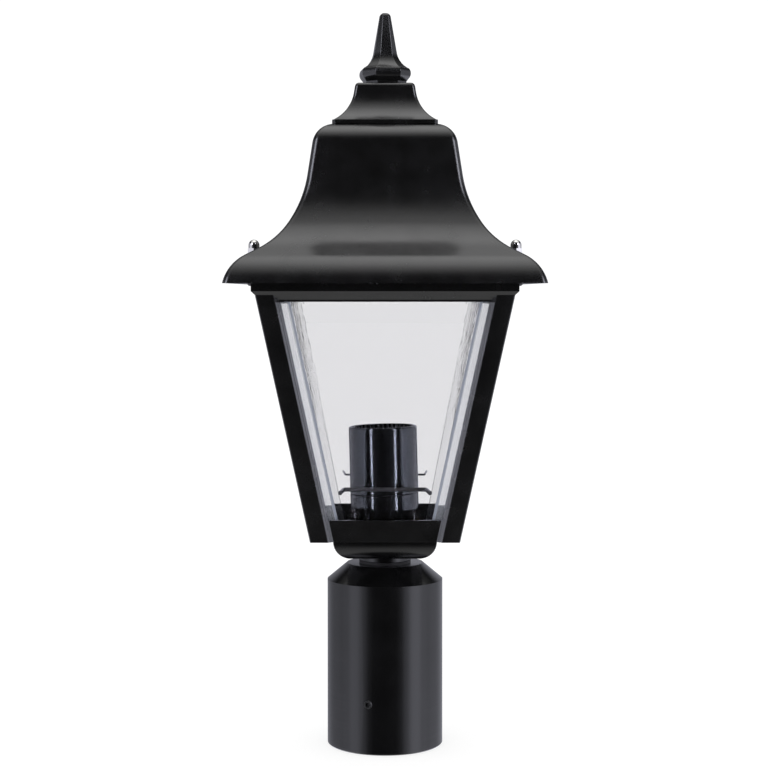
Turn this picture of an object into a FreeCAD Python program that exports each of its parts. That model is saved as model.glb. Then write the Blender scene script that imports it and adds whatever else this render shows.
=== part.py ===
import FreeCAD, Part
import math
import os

# Four-sided post-top lantern head with a cast bell roof, bevelled clear panes and an open screw lampholder.
# Millimetres. The origin is the centre of the post sleeve's lower rim, +Z is up and the front faces -Y.

# Post sleeve
sleeve_radius = 33.3
sleeve_bore_radius = 30.4
sleeve_straight = 95.3
sleeve_shoulder_radius = 22.0
sleeve_shoulder_rise = 9.4
sleeve_top_wall = 3.4
sleeve_mouth_chamfer = 0.6
grub_screw_radius = 2.5
grub_screw_socket_flats = 2.5
grub_screw_socket_depth = 1.6
grub_screw_height = 28.5
grub_screw_count = 3
grub_screw_first_angle = 253.0
grub_screw_stands_out = 0.3

# Neck, seal and under-dish
neck_radius = 14.6
neck_height = 3.2
seal_radius = 14.9
seal_height = 1.4
dish_half = 29.3
dish_height = 11.3
dish_wall = 3.0

# Cage: four tapering corner posts, bottom apron, floor and top ring in one casting
pad_half = 31.5
pad_height = 1.0
cage_half_bottom = 41.8
cage_half_top = 69.4
cage_height = 134.2
post_width = 12.8
post_face_width = 10.0
post_corner_radius = 1.0
bead_chamfer = 1.1
bead_depth = 1.3
bead_flat = 0.6
lip_depth = 3.1
leg_thickness = 5.1
floor_thickness = 2.3
apron_recess = 2.75
apron_height = 12.4
ring_band = 7.8
ring_cove = 4.6
ring_cove_inset = 4.7
ring_lower_edge = 1.1
ear_length = 9.3
ear_half_width = 5.2
ear_thickness = 2.6

# Panes
pane_thickness = 3.0
pane_gap = 0.1
pane_side_gap = 0.2
pane_top_below_ring = 5.5
bevel_shown = 4.5
bevel_depth = 1.2

# Roof, crown cap and finial
roof_overhang = 14.4
roof_height = 89.5
roof_wall = 3.0
roof_rim_below_ring_top = 3.5
roof_rim_lean = 12.0
roof_rim_radius = 23.0
roof_flare_angle = 29.0
roof_flare_run = 7.3
roof_cove_angle = 57.0
roof_sweep_radius = 68.0
roof_face_angle = 81.5
roof_shoulder_radius = 13.0
roof_flat_half = 27.5
roof_corner_radius = 3.5
roof_rib_wall = 3.0
roof_rib_inset = 1.0
crown_overhang = 2.2
crown_corner_radius = 2.4
crown_mitre_radius = 2.0
crown_flange = 2.3
crown_ledge = 0.6
crown_height = 24.5
crown_start_angle = 30.0
crown_cove_radius = 23.5
crown_face_angle = 81.0
crown_edge_radius = 2.5
crown_wall = 3.0
finial_base_half = 11.6
finial_base_height = 1.8
finial_knob_half = 14.0
finial_knob_height = 6.5
finial_knob_radius = 4.6
finial_knob_tuck_degrees = 35.0
finial_waist_half = 6.4
finial_waist_height = 18.8
finial_neck_reach = 0.27
finial_neck_drop = 0.52
finial_tip_half = 3.1
finial_height = 41.4
finial_tip_round = 1.9
finial_diagonal_ratio = 1.07
finial_turn_degrees = 8.0

# Threaded pieces
thread_clearance = 0.2
nipple_radius = 5.0
nipple_bore_radius = 3.6
nipple_nut_flats = 14.0
nipple_nut_height = 4.5
nipple_washer_radius = 10.0
nipple_washer_height = 1.2
nipple_tail = 1.5
nipple_in_lampholder = 3.4
stud_radius = 3.0
stud_nut_flats = 10.0
stud_nut_height = 5.0
stud_washer_radius = 9.0
stud_washer_height = 1.6
stud_tail = 2.0
stud_in_finial = 10.0
roof_screw_radius = 2.0
roof_screw_length = 20.3
roof_screw_from_ring = 3.4
roof_screw_head_radius = 4.0
roof_screw_head_height = 2.2
roof_boss_radius = 5.0
roof_boss_rise = 16.3
small_washer_radius = 4.9
small_washer_height = 0.8
dome_nut_flats = 7.0
dome_nut_hex_height = 3.4
dome_nut_height = 8.4
dome_nut_dome_radius = 3.2
earth_screw_radius = 2.0
earth_screw_x = 20.5
earth_screw_y = 13.0
earth_screw_length = 7.0
earth_screw_head_radius = 3.9
earth_screw_head_height = 2.3

# Screw lampholder
holder_lean_degrees = 1.4
holder_foot_radius = 16.6
holder_foot_height = 6.4
holder_radius = 19.7
holder_height = 54.2
holder_base_height = 15.7
holder_joint = 0.2
holder_base_wall = 2.2
holder_base_floor = 3.0
holder_skirt_wall = 1.8
holder_seat_gap = 0.2
core_clearance = 0.2
core_below_joint = 5.0
core_above_joint = 5.0
thread_shell_radius = 13.9
thread_shell_wall = 0.5
thread_shell_height = 22.0
thread_pitch = 3.6
thread_depth = 0.9
contact_radius = 4.0
contact_height = 3.5
contact_base_height = 1.2
terminal_spacing = 20.0
terminal_screw_radius = 1.5
terminal_head_radius = 2.7
terminal_head_height = 2.0
terminal_depth = 3.5

# Pane springs
front_spring_radius = 1.2
front_spring_above_foot = 19.6
front_spring_bend_radius = 1.8
rear_spring_radius = 0.6
rear_spring_above_foot = 23.8
rear_spring_bend_radius = 1.0
spring_half_span = 23.3
spring_foot_spread = 1.7
spring_rest_gap = 0.15

# Heights that follow
sleeve_height = sleeve_straight + sleeve_shoulder_rise
seal_top = sleeve_height + seal_height
neck_top = seal_top + neck_height
dish_top = neck_top + dish_height
cage_bottom = dish_top + pad_height
cage_top = cage_bottom + cage_height
cage_taper = (cage_half_top - cage_half_bottom) / cage_height
floor_top = cage_bottom + floor_thickness
apron_top = cage_bottom + apron_height
ring_top = cage_top + ring_lower_edge + ring_cove + ring_band
ring_half = cage_half_bottom + cage_taper * (ring_top - cage_bottom)
pane_top = ring_top - pane_top_below_ring
roof_half = ring_half + roof_overhang
roof_bottom = ring_top - roof_rim_below_ring_top
roof_boss_top = roof_bottom + roof_boss_rise
roof_screw_x = ring_half + roof_screw_from_ring
roof_top = roof_bottom + roof_height
crown_half = roof_flat_half + crown_overhang
crown_top = roof_top + crown_height
nipple_hole_radius = nipple_radius + thread_clearance
nipple_top_nut = floor_top + nipple_washer_height
holder_bottom = nipple_top_nut + nipple_nut_height + holder_seat_gap
holder_joint_height = holder_bottom + holder_base_height
holder_top = holder_bottom + holder_height
core_radius = holder_radius - holder_base_wall - core_clearance
front_spring_height = holder_bottom + front_spring_above_foot
rear_spring_height = holder_bottom + rear_spring_above_foot
sleeve_ceiling = sleeve_height - sleeve_top_wall
nipple_lower_washer = sleeve_ceiling - nipple_washer_height
nipple_lower_nut = nipple_lower_washer - nipple_nut_height
ear_bottom = ring_top - ear_thickness
stud_washer_bottom = roof_top - roof_wall - stud_washer_height
stud_nut_bottom = stud_washer_bottom - stud_nut_height
pane_depth = leg_thickness + pane_gap
pane_inner_depth = pane_depth + pane_thickness

Z_AXIS = FreeCAD.Vector(0, 0, 1)
ORIGIN = FreeCAD.Vector(0, 0, 0)


def vector(x, y, z):
    return FreeCAD.Vector(x, y, z)


def cage_half(z):
    """Half-width of the cage's outer faces at height z."""
    return cage_half_bottom + cage_taper * (z - cage_bottom)


def turned(points):
    """Solid turned about the Z axis from (radius, height) points."""
    corners = [vector(r, 0, z) for r, z in points]
    face = Part.Face(Part.makePolygon(corners + corners[:1]))
    return face.revolve(ORIGIN, Z_AXIS, 360)


def disc(radius, bottom, height, hole=0.0):
    """Round plate or tube about the Z axis."""
    solid = Part.makeCylinder(radius, height, vector(0, 0, bottom))
    if hole > 0:
        solid = solid.cut(Part.makeCylinder(hole, height, vector(0, 0, bottom)))
    return solid


def hexagon(flats, bottom, height):
    """Hexagonal bar about the Z axis, with its flats facing X."""
    corner = flats / 2 / math.cos(math.radians(30))
    points = []
    for index in range(7):
        angle = math.radians(30 + 60 * index)
        points.append(vector(corner * math.cos(angle), corner * math.sin(angle), bottom))
    return Part.Face(Part.makePolygon(points)).extrude(vector(0, 0, height))


def hex_nut(flats, bottom, height, hole):
    """Hexagonal nut with both faces' corners turned off."""
    corner = flats / 2 / math.cos(math.radians(30))
    turned_off = corner - flats / 2
    blank = turned([
        (0, bottom),
        (flats / 2, bottom),
        (corner, bottom + turned_off / 2),
        (corner, bottom + height - turned_off / 2),
        (flats / 2, bottom + height),
        (0, bottom + height),
    ])
    nut = hexagon(flats, bottom, height).common(blank)
    return nut.cut(Part.makeCylinder(hole, height, vector(0, 0, bottom)))


def square(half, z):
    """Square wire centred on the Z axis."""
    corners = [vector(-half, -half, z), vector(half, -half, z), vector(half, half, z), vector(-half, half, z)]
    return Part.makePolygon(corners + corners[:1])


def cage_frustum(inset, bottom, top):
    """Solid inside the cage's four leaning faces, drawn in by inset."""
    lower = square(cage_half(bottom) - inset, bottom)
    upper = square(cage_half(top) - inset, top)
    return Part.makeLoft([lower, upper], True, True)


def outline(start, heading, steps, inset=0.0):
    """Smooth line in the XZ plane, drawn in by inset on its left.

    A step is ("run", length) or ("bend", radius, new heading), with headings in degrees.
    """
    angle = math.radians(heading)
    left = vector(-math.sin(angle), 0, math.cos(angle))
    point = vector(start[0], 0, start[1]) + left * inset
    edges = []
    for step in steps:
        if step[0] == "run":
            ahead = vector(math.cos(angle), 0, math.sin(angle))
            end = point + ahead * step[1]
            edges.append(Part.LineSegment(point, end).toShape())
        else:
            new_angle = math.radians(step[2])
            side = 1 if new_angle > angle else -1
            radius = (step[1] - side * inset) * side
            centre = point + vector(-math.sin(angle), 0, math.cos(angle)) * radius
            middle_angle = (angle + new_angle) / 2
            middle = centre - vector(-math.sin(middle_angle), 0, math.cos(middle_angle)) * radius
            end = centre - vector(-math.sin(new_angle), 0, math.cos(new_angle)) * radius
            edges.append(Part.Arc(point, middle, end).toShape())
            angle = new_angle
        point = end
    return edges


def end_of(edge):
    return edge.valueAt(edge.LastParameter)


def start_of(edge):
    return edge.valueAt(edge.FirstParameter)


def two_sided_face(edges):
    """Face between a right-hand outline in the XZ plane and its mirror image."""
    mirrored = [edge.mirror(ORIGIN, vector(1, 0, 0)) for edge in edges]
    loop = edges + mirrored
    for point in (start_of(edges[0]), end_of(edges[-1])):
        if point.x > 1e-6:
            opposite = vector(-point.x, 0, point.z)
            loop.append(Part.LineSegment(point, opposite).toShape())
    return Part.Face(Part.Wire(Part.__sortEdges__(loop)))


def four_sided(edges, reach):
    """Solid whose four sides all follow the right-hand outline, mitred at the corners."""
    face = two_sided_face(edges)
    face.translate(vector(0, -reach, 0))
    along_y = face.extrude(vector(0, 2 * reach, 0))
    along_x = along_y.copy()
    along_x.rotate(ORIGIN, Z_AXIS, 90)
    return along_y.common(along_x)


def straight_edges(points):
    """Right-hand outline of straight runs through (half-width, height) points."""
    corners = [vector(x, 0, z) for x, z in points]
    return [Part.LineSegment(a, b).toShape() for a, b in zip(corners, corners[1:])]


def mitre_edges(solid):
    """Edges that lie on the two vertical diagonal planes."""
    found = []
    for edge in solid.Edges:
        points = [edge.valueAt(edge.FirstParameter), edge.valueAt(edge.LastParameter)]
        if all(abs(abs(p.x) - abs(p.y)) < 1e-5 for p in points) and abs(points[0].z - points[1].z) > 1e-5:
            found.append(edge)
    return found


def both_sides(solid):
    """The solid at its place on the +X side, and its copy on the -X side."""
    other = solid.copy()
    other.rotate(ORIGIN, Z_AXIS, 180)
    return Part.makeCompound([solid, other])


def quarter_turns(solid):
    """Four copies of the solid around the Z axis."""
    copies = []
    for index in range(4):
        copy = solid.copy()
        copy.rotate(ORIGIN, Z_AXIS, 90 * index)
        copies.append(copy)
    return copies


def lean(solid):
    """The lampholder stands a little out of plumb on its threaded stem, towards -X."""
    leaning = solid.copy()
    leaning.rotate(vector(0, 0, holder_bottom), vector(0, 1, 0), -holder_lean_degrees)
    return leaning


def post_sleeve():
    """Cup that drops over the post, with a coned shoulder and radial fixing holes."""
    wall = sleeve_radius - sleeve_bore_radius
    inner_shoulder = sleeve_shoulder_radius - wall
    inner_straight = sleeve_ceiling - sleeve_shoulder_rise * (sleeve_bore_radius - inner_shoulder) / (
        sleeve_radius - sleeve_shoulder_radius)
    solid = turned([
        (sleeve_bore_radius + sleeve_mouth_chamfer, 0),
        (sleeve_radius - sleeve_mouth_chamfer, 0),
        (sleeve_radius, sleeve_mouth_chamfer),
        (sleeve_radius, sleeve_straight),
        (sleeve_shoulder_radius, sleeve_height),
        (nipple_hole_radius, sleeve_height),
        (nipple_hole_radius, sleeve_ceiling),
        (inner_shoulder, sleeve_ceiling),
        (sleeve_bore_radius, inner_straight),
        (sleeve_bore_radius, sleeve_mouth_chamfer),
    ])
    hole = Part.makeCylinder(grub_screw_radius + thread_clearance / 2, 3 * wall,
                             vector(sleeve_bore_radius - wall, 0, grub_screw_height), vector(1, 0, 0))
    for placed in around_sleeve(hole):
        solid = solid.cut(placed)
    return solid


def around_sleeve(solid):
    """Copies of a piece on the +X side at each grub screw's place round the sleeve."""
    copies = []
    for index in range(grub_screw_count):
        copy = solid.copy()
        copy.rotate(ORIGIN, Z_AXIS, grub_screw_first_angle + 360 / grub_screw_count * index)
        copies.append(copy)
    return copies


def sleeve_grub_screws():
    """Socket set screws that grip the post, backed out flush with the bore."""
    length = sleeve_radius + grub_screw_stands_out - sleeve_bore_radius
    chamfer = 0.15 * grub_screw_radius
    screw = turned([
        (0, 0),
        (grub_screw_radius - chamfer, 0),
        (grub_screw_radius, chamfer),
        (grub_screw_radius, length - chamfer),
        (grub_screw_radius - chamfer, length),
        (0, length),
    ])
    socket_bottom = length - grub_screw_socket_depth
    screw = screw.cut(hexagon(grub_screw_socket_flats, socket_bottom, grub_screw_socket_depth))
    screw.rotate(ORIGIN, vector(0, 1, 0), 90)
    screw.translate(vector(sleeve_bore_radius, 0, grub_screw_height))
    return Part.makeCompound(around_sleeve(screw))


def neck_seal():
    """Rubber ring between the sleeve and the neck."""
    return disc(seal_radius, sleeve_height, seal_height, nipple_hole_radius)


def neck_collar():
    """Turned spacer between the sleeve and the under-dish."""
    return disc(neck_radius, seal_top, neck_height, nipple_hole_radius)


def under_dish():
    """Square cast dish with quarter-round sides, clamped under the cage."""
    start = (dish_half - dish_height, neck_top)
    steps = [("bend", dish_height, 90)]
    outer = four_sided(outline(start, 0, steps), dish_half * 2)
    inner = four_sided(outline(start, 0, steps, dish_wall), dish_half * 2)
    hole = Part.makeCylinder(nipple_hole_radius, dish_height, vector(0, 0, neck_top))
    return outer.cut(inner).cut(hole)


def corner_post():
    """Leaning post at the front left corner, with a stepped lip along each face."""
    first = post_face_width
    second = first + bead_chamfer
    third = second + bead_flat
    face_side = [(first, 0), (second, bead_depth), (third, bead_depth), (post_width, lip_depth)]
    other_side = [(v, u) for u, v in reversed(face_side)]
    edge = []
    for degrees in (0, 30, 60, 90):
        angle = math.radians(degrees)
        edge.append((post_corner_radius * (1 - math.cos(angle)), post_corner_radius * (1 - math.sin(angle))))
    points = face_side + [(post_width, post_width)] + other_side + edge
    corners = [vector(u, v, 0) for u, v in points]
    section = Part.Face(Part.makePolygon(corners + corners[:1]))
    half = cage_half(cage_bottom)
    section.translate(vector(-half, -half, cage_bottom))
    height = cage_height + ring_lower_edge + ring_cove
    return section.extrude(vector(-cage_taper * height, -cage_taper * height, height))


def top_ring():
    """Square ring with a plain band over a coved underside."""
    cove_half = ring_half - ring_cove_inset
    return four_sided(straight_edges([
        (cove_half, cage_top),
        (cove_half, cage_top + ring_lower_edge),
        (ring_half, cage_top + ring_lower_edge + ring_cove),
        (ring_half, ring_top),
    ]), ring_half * 2)


def ear():
    """Lug on the +X side of the top ring, drilled for the roof screw."""
    tip = roof_screw_x
    block = Part.makeBox(tip - ring_half + post_width / 4, 2 * ear_half_width, ear_thickness,
                         vector(ring_half - post_width / 4, -ear_half_width, ear_bottom))
    end = Part.makeCylinder(ear_half_width, ear_thickness, vector(tip, 0, ear_bottom))
    return block.fuse(end)


def ear_drilling():
    """Hole through the +X ear, with a spot face below it for the screw's head."""
    hole = Part.makeCylinder(roof_screw_radius + thread_clearance, ear_thickness, vector(roof_screw_x, 0, ear_bottom))
    depth = ring_band
    spot_face = Part.makeCylinder(roof_screw_head_radius + thread_clearance, depth,
                                  vector(roof_screw_x, 0, ear_bottom - depth))
    return hole.fuse(spot_face)


def lantern_cage():
    """One casting: floor, apron, four corner posts, top ring and two ears."""
    body = cage_frustum(apron_recess, cage_bottom, apron_top)
    for post in quarter_turns(corner_post()):
        body = body.fuse(post)
    body = body.fuse(top_ring())
    body = body.cut(cage_frustum(leg_thickness, floor_top, ring_top))
    pad = Part.makeBox(2 * pad_half, 2 * pad_half, pad_height, vector(-pad_half, -pad_half, dish_top))
    body = body.fuse(pad)
    body = body.fuse(ear())
    opposite_ear = ear()
    opposite_ear.rotate(ORIGIN, Z_AXIS, 180)
    body = body.fuse(opposite_ear)
    body = body.cut(both_sides(ear_drilling()))
    hole = Part.makeCylinder(nipple_hole_radius, floor_top - dish_top, vector(0, 0, dish_top))
    earth_hole = Part.makeCylinder(earth_screw_radius, floor_top - dish_top,
                                   vector(earth_screw_x, earth_screw_y, dish_top))
    return body.cut(hole).cut(earth_hole).removeSplitter()


def pane(edge_inset):
    """Front pane: a tapering plate, ground to a bevel round the edges of its inner face."""
    shown_edge = post_width + bevel_shown

    def section(z):
        half = cage_half(z)
        edge = half - edge_inset
        arris = half - shown_edge
        outer = half - pane_depth
        inner = half - pane_inner_depth
        points = [(-edge, -outer), (edge, -outer), (edge, -inner - bevel_depth), (arris, -inner),
                  (-arris, -inner), (-edge, -inner - bevel_depth)]
        corners = [vector(x, y, z) for x, y in points]
        return Part.makePolygon(corners + corners[:1])

    plate = Part.makeLoft([section(floor_top), section(pane_top)], True, True)
    bevel_width = shown_edge - edge_inset
    for z, step in ((floor_top, bevel_width), (pane_top, -bevel_width)):
        inner = cage_half(z) - pane_inner_depth
        inner_at_arris = cage_half(z + step) - pane_inner_depth
        reach = cage_half(pane_top)
        wedge_points = [(-inner - bevel_depth, z), (-inner_at_arris, z + step), (0, z + step), (0, z)]
        corners = [vector(-reach, y, height) for y, height in wedge_points]
        wedge = Part.Face(Part.makePolygon(corners + corners[:1])).extrude(vector(2 * reach, 0, 0))
        plate = plate.cut(wedge)
    return plate


def front_pane():
    """Pane that stands between the two side panes."""
    return pane(pane_inner_depth + pane_side_gap)


def side_pane():
    """Pane that reaches into the corners of the posts, turned to the -X side."""
    solid = pane(pane_depth + pane_side_gap)
    solid.rotate(ORIGIN, Z_AXIS, -90)
    return solid


def bend_reach(radius, first_slope, last_slope):
    """Inward run and rise of an arc between two slopes, in degrees from level."""
    first = math.radians(first_slope)
    last = math.radians(last_slope)
    return radius * abs(math.sin(last) - math.sin(first)), radius * abs(math.cos(last) - math.cos(first))


def roof_cove_and_face():
    """Radius of the roof's cove and run of its steep face, which bring the outline to the flat top's edge."""
    flare = math.radians(roof_flare_angle)
    face = math.radians(roof_face_angle)
    known = [
        bend_reach(roof_rim_radius, 90 - roof_rim_lean, roof_flare_angle),
        (roof_flare_run * math.cos(flare), roof_flare_run * math.sin(flare)),
        bend_reach(roof_sweep_radius, roof_cove_angle, roof_face_angle),
        bend_reach(roof_shoulder_radius, roof_face_angle, 0),
    ]
    run_left = roof_half - roof_flat_half - sum(run for run, rise in known)
    rise_left = roof_height - sum(rise for run, rise in known)
    unit_run, unit_rise = bend_reach(1, roof_flare_angle, roof_cove_angle)
    cove_radius = (run_left - rise_left / math.tan(face)) / (unit_run - unit_rise / math.tan(face))
    return cove_radius, (rise_left - cove_radius * unit_rise) / math.sin(face)


def roof_outline(inset):
    """Outline of the bell roof from its rim to its flat top."""
    cove_radius, face_run = roof_cove_and_face()
    return outline((roof_half, roof_bottom), 90 + roof_rim_lean, [
        ("bend", roof_rim_radius, 180 - roof_flare_angle),
        ("run", roof_flare_run),
        ("bend", cove_radius, 180 - roof_cove_angle),
        ("bend", roof_sweep_radius, 180 - roof_face_angle),
        ("run", face_run),
        ("bend", roof_shoulder_radius, 180),
    ], inset)


def roof():
    """Cast bell roof with rounded corners, a seating rib and a boss for each roof screw."""
    outer = four_sided(roof_outline(0), roof_half * 2)
    outer = outer.makeFillet(roof_corner_radius, mitre_edges(outer))
    inner = four_sided(roof_outline(roof_wall), roof_half * 2)
    shell = outer.cut(inner)
    rib_outer = ring_half - roof_rib_inset
    rib_inner = rib_outer - roof_rib_wall
    rib_height = roof_height / 2
    rib = Part.makeBox(2 * rib_outer, 2 * rib_outer, rib_height, vector(-rib_outer, -rib_outer, ring_top))
    rib = rib.cut(Part.makeBox(2 * rib_inner, 2 * rib_inner, rib_height, vector(-rib_inner, -rib_inner, ring_top)))
    boss = Part.makeCylinder(roof_boss_radius, roof_boss_top - ring_top, vector(roof_screw_x, 0, ring_top))
    spot_face = Part.makeCylinder(roof_boss_radius + thread_clearance, roof_wall * 3,
                                  vector(roof_screw_x, 0, roof_boss_top))
    hole = Part.makeCylinder(roof_screw_radius + thread_clearance, roof_height, vector(roof_screw_x, 0, roof_bottom))
    shell = shell.fuse(rib.common(outer))
    for half_turn in (0, 180):
        for tool, adds in ((boss, True), (spot_face, False), (hole, False)):
            placed = tool.copy()
            placed.rotate(ORIGIN, Z_AXIS, half_turn)
            shell = shell.fuse(placed) if adds else shell.cut(placed)
    stud_hole = Part.makeCylinder(stud_radius + thread_clearance, 2 * roof_wall,
                                  vector(0, 0, roof_top - 1.5 * roof_wall))
    return shell.cut(stud_hole).removeSplitter()


def crown_outline(inset):
    """Outline of the crown cap, measured up from the top of its flange, to its small flat top."""
    cove_run, cove_rise = bend_reach(crown_cove_radius, crown_start_angle, crown_face_angle)
    edge_run, edge_rise = bend_reach(crown_edge_radius, crown_face_angle, 0)
    face_run = (crown_height - crown_flange - cove_rise - edge_rise) / math.sin(math.radians(crown_face_angle))
    return outline((crown_half - crown_ledge, 0), 180 - crown_start_angle, [
        ("bend", crown_cove_radius, 180 - crown_face_angle),
        ("run", face_run),
        ("bend", crown_edge_radius, 180),
    ], inset)


def crown_cap():
    """Concave cast cap with a thin square flange, hollow underneath, made at height 0 and lifted to its seat."""
    flange = Part.makeBox(2 * crown_half, 2 * crown_half, crown_flange,
                          vector(-crown_half, -crown_half, -crown_flange))
    flange = flange.makeFillet(crown_corner_radius, mitre_edges(flange))
    body = four_sided(crown_outline(0), crown_half * 2)
    body = body.makeFillet(crown_mitre_radius, mitre_edges(body))
    hollow = four_sided(crown_outline(crown_wall)[:1], crown_half * 2)
    hole = Part.makeCylinder(stud_radius + thread_clearance, crown_height, vector(0, 0, -crown_flange))
    cap = flange.fuse(body).cut(hollow).cut(hole).removeSplitter()
    cap.translate(vector(0, 0, roof_top + crown_flange))
    return cap


def finial_outline(ratio):
    """Outline of the finial: square foot, knob, waist and spire."""
    knob = vector(finial_knob_half * ratio, 0, crown_top + finial_knob_height)
    foot = vector(finial_base_half * ratio, 0, crown_top)
    foot_top = vector(foot.x, 0, crown_top + finial_base_height)
    waist = vector(finial_waist_half * ratio, 0, crown_top + finial_waist_height)
    tip = vector(finial_tip_half * ratio, 0, crown_top + finial_height - finial_tip_round)
    peak = vector(0, 0, crown_top + finial_height)
    tuck = math.radians(finial_knob_tuck_degrees)
    under = vector(knob.x - finial_knob_radius * (1 - math.cos(tuck)), 0,
                   knob.z - finial_knob_radius * math.sin(tuck))
    over = vector(under.x, 0, knob.z + finial_knob_radius * math.sin(tuck))
    hollow = vector(waist.x + (over.x - waist.x) * finial_neck_reach, 0,
                    waist.z - (waist.z - over.z) * finial_neck_drop)
    half_turn = math.sqrt(0.5)
    shoulder = vector(tip.x * half_turn, 0, tip.z + finial_tip_round * half_turn)
    return [
        Part.LineSegment(foot, foot_top).toShape(),
        Part.LineSegment(foot_top, under).toShape(),
        Part.Arc(under, knob, over).toShape(),
        Part.Arc(over, hollow, waist).toShape(),
        Part.LineSegment(waist, tip).toShape(),
        Part.Arc(tip, shoulder, peak).toShape(),
    ]


def finial():
    """Eight-sided cast finial, tapped from below for the stud and tightened a little past square."""
    reach = finial_knob_half * 3
    square_form = four_sided(finial_outline(1.0), reach)
    diagonal_form = four_sided(finial_outline(finial_diagonal_ratio), reach)
    diagonal_form.rotate(ORIGIN, Z_AXIS, 45)
    depth = stud_in_finial + stud_radius
    socket = Part.makeCylinder(stud_radius + thread_clearance / 2, depth, vector(0, 0, crown_top))
    form = square_form.common(diagonal_form).cut(socket)
    form.rotate(ORIGIN, Z_AXIS, finial_turn_degrees)
    return form


def crown_stud():
    """Threaded rod that holds the finial and the crown cap down on the roof."""
    bottom = stud_nut_bottom - stud_tail
    return disc(stud_radius, bottom, crown_top + stud_in_finial - bottom)


def crown_washer():
    return disc(stud_washer_radius, stud_washer_bottom, stud_washer_height, stud_radius + thread_clearance)


def crown_nut():
    return hex_nut(stud_nut_flats, stud_nut_bottom, stud_nut_height, stud_radius + thread_clearance / 2)


def stem():
    """Threaded tube that clamps sleeve, dish and cage together and carries the cable and the lampholder."""
    bottom = nipple_lower_nut - nipple_tail
    top = holder_bottom + nipple_in_lampholder
    return disc(nipple_radius, bottom, top - bottom, nipple_bore_radius)


def stem_washers():
    upper = disc(nipple_washer_radius, floor_top, nipple_washer_height, nipple_hole_radius)
    lower = disc(nipple_washer_radius, nipple_lower_washer, nipple_washer_height, nipple_hole_radius)
    return Part.makeCompound([upper, lower])


def stem_nuts():
    hole = nipple_radius + thread_clearance / 2
    upper = hex_nut(nipple_nut_flats, nipple_top_nut, nipple_nut_height, hole)
    lower = hex_nut(nipple_nut_flats, nipple_lower_nut, nipple_nut_height, hole)
    return Part.makeCompound([upper, lower])


def cross_screw(radius, length, head_radius, head_height):
    """Screw along -Z with its head seated on z = 0 and a cross recess in the head."""
    rounding = 0.6 * head_height
    recess_depth = 0.5 * head_height
    arm_reach = 1.1 * radius
    arm_width = 0.4 * radius
    solid = turned([
        (0, -length),
        (radius, -length),
        (radius, 0),
        (head_radius, 0),
        (head_radius, head_height - rounding),
        (head_radius - 0.25 * rounding, head_height - 0.4 * rounding),
        (head_radius - rounding, head_height),
        (0, head_height),
    ])
    low = head_height - recess_depth
    for width, depth in ((arm_reach, arm_width), (arm_width, arm_reach)):
        arm = Part.makeBox(2 * width, 2 * depth, recess_depth, vector(-width, -depth, low))
        solid = solid.cut(arm)
    return solid


def roof_screws():
    """Wide-headed screws pushed up through the ears and the roof bosses."""
    screw = cross_screw(roof_screw_radius, roof_screw_length, roof_screw_head_radius, roof_screw_head_height)
    screw.rotate(ORIGIN, vector(1, 0, 0), 180)
    screw.translate(vector(roof_screw_x, 0, ear_bottom))
    return both_sides(screw)


def roof_screw_washers():
    washer = disc(small_washer_radius, roof_boss_top, small_washer_height, roof_screw_radius + thread_clearance)
    washer.translate(vector(roof_screw_x, 0, 0))
    return both_sides(washer)


def dome_nuts():
    """Domed cap nuts on the roof screws."""
    bottom = roof_boss_top + small_washer_height
    nut = hexagon(dome_nut_flats, bottom, dome_nut_hex_height)
    dome_straight = dome_nut_height - dome_nut_hex_height - dome_nut_dome_radius
    nut = nut.fuse(disc(dome_nut_dome_radius, bottom + dome_nut_hex_height, dome_straight))
    dome_centre = vector(0, 0, bottom + dome_nut_hex_height + dome_straight)
    nut = nut.fuse(Part.makeSphere(dome_nut_dome_radius, dome_centre, Z_AXIS, 0, 90, 360))
    screw_end = ear_bottom + roof_screw_length
    socket_depth = screw_end - bottom + thread_clearance
    nut = nut.cut(Part.makeCylinder(roof_screw_radius + thread_clearance / 2, socket_depth, vector(0, 0, bottom)))
    nut.translate(vector(roof_screw_x, 0, 0))
    return both_sides(nut.removeSplitter())


def earth_screw():
    """Earthing screw tapped into the cage floor."""
    screw = cross_screw(earth_screw_radius, earth_screw_length, earth_screw_head_radius, earth_screw_head_height)
    screw.translate(vector(earth_screw_x, earth_screw_y, floor_top + small_washer_height))
    return screw


def earth_washer():
    solid = disc(small_washer_radius, floor_top, small_washer_height, earth_screw_radius + thread_clearance)
    solid.translate(vector(earth_screw_x, earth_screw_y, 0))
    return solid


def lampholder_base():
    """Moulded cup that screws onto the stem and takes the holder's core."""
    inner = holder_radius - holder_base_wall
    joint = holder_joint_height - holder_joint
    foot_top = holder_bottom + holder_foot_height
    floor = holder_bottom + holder_base_floor
    solid = turned([
        (nipple_hole_radius, holder_bottom),
        (holder_foot_radius, holder_bottom),
        (holder_foot_radius, foot_top),
        (holder_radius, foot_top),
        (holder_radius, joint),
        (inner, joint),
        (inner, foot_top),
        (holder_foot_radius - holder_base_wall, foot_top),
        (holder_foot_radius - holder_base_wall, floor),
        (nipple_hole_radius, floor),
    ])
    return lean(solid)


def lampholder_core():
    """Ceramic core that carries the contacts, the terminals and the threaded shell."""
    bottom = holder_joint_height - core_below_joint
    height = core_below_joint + core_above_joint
    core = disc(core_radius, bottom, height)
    for side in (-1, 1):
        centre = vector(side * terminal_spacing / 2, 0, bottom)
        core = core.cut(Part.makeCylinder(terminal_screw_radius + thread_clearance / 2, terminal_depth, centre))
    return lean(core)


def lampholder_skirt():
    """Outer sleeve of the lampholder, open at the top."""
    lip = holder_skirt_wall / 3
    inner = holder_radius - holder_skirt_wall
    solid = turned([
        (inner, holder_joint_height),
        (holder_radius, holder_joint_height),
        (holder_radius, holder_top - lip),
        (holder_radius - lip, holder_top),
        (inner, holder_top),
    ])
    return lean(solid)


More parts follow.
